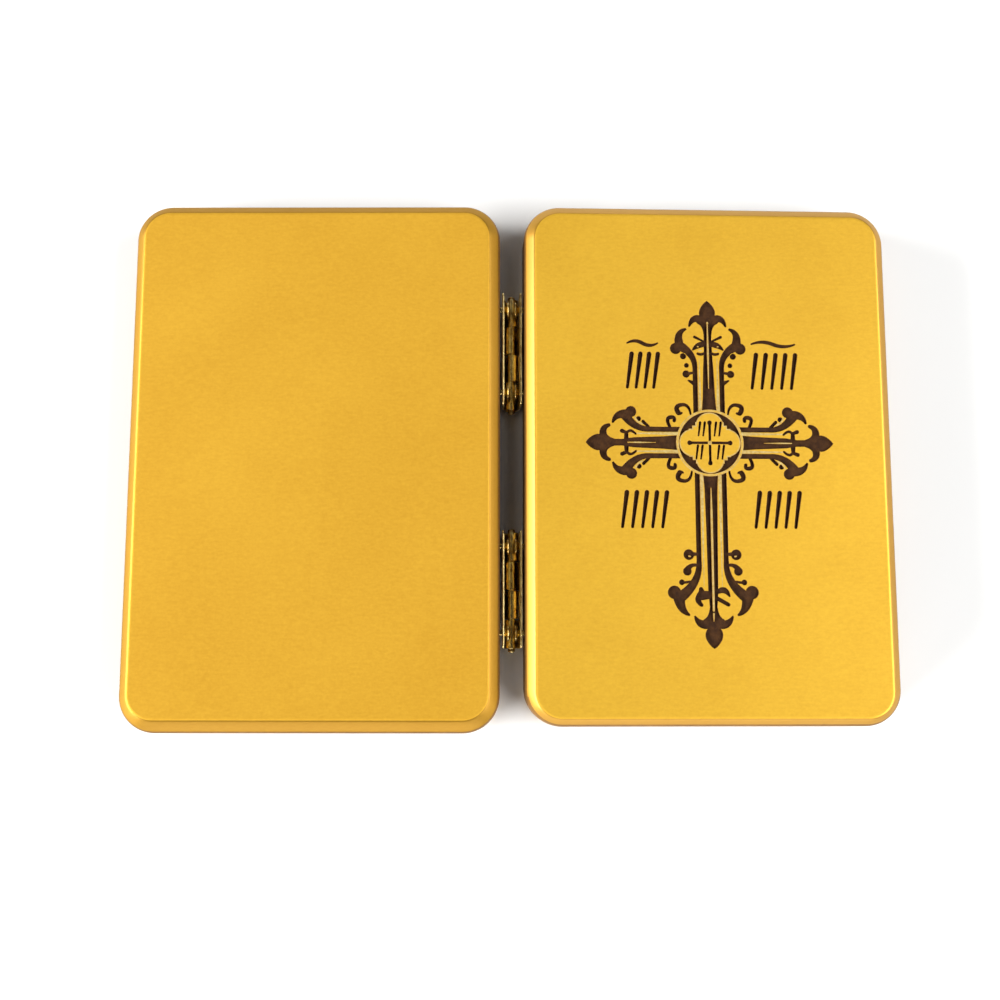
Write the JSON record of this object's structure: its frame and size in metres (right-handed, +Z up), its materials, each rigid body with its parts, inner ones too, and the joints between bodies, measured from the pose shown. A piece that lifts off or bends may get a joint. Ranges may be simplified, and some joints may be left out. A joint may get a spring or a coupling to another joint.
{
  "type": "diptych icon",
  "caption": "Pocket diptych of gilded boards with an engraved cross on the outer front face, joined by brass hinges and folding shut like a book.",
  "frame": {"origin": "middle of the bounding box's bottom, on the table under the hinge line", "axes": "+X from the plain back board to the engraved front board, +Y up the icon, +Z up from the table"},
  "size_m": [0.155, 0.1076, 0.0105],
  "materials": {
    "gilding_back": "satin gold paint over board",
    "gilding_front": "satin gold paint over board, engraving burnt dark brown",
    "hinge_brass": "bright stamped sheet",
    "pin_brass": "drawn wire",
    "nail_brass": "bright domed heads"
  },
  "bodies": {
    "back_half": {"back_board": "gilding_back", "upper_hinge_back_leaf": "hinge_brass", "lower_hinge_back_leaf": "hinge_brass", "upper_hinge_pin": "pin_brass", "lower_hinge_pin": "pin_brass", "upper_hinge_back_lower_nail": "nail_brass", "upper_hinge_back_upper_nail": "nail_brass", "lower_hinge_back_lower_nail": "nail_brass", "lower_hinge_back_upper_nail": "nail_brass"},
    "front_half": {"front_board": "gilding_front", "upper_hinge_front_leaf": "hinge_brass", "lower_hinge_front_leaf": "hinge_brass", "upper_hinge_front_lower_nail": "nail_brass", "upper_hinge_front_upper_nail": "nail_brass", "lower_hinge_front_lower_nail": "nail_brass", "lower_hinge_front_upper_nail": "nail_brass"}
  },
  "joints": [
    {"name": "diptych_fold", "type": "hinge", "parent": "back_half", "child": "front_half", "pos_m": [0, 0, 0.0015], "axis": [0, 1, 0], "range_deg": [-9, 177]}
  ]
}
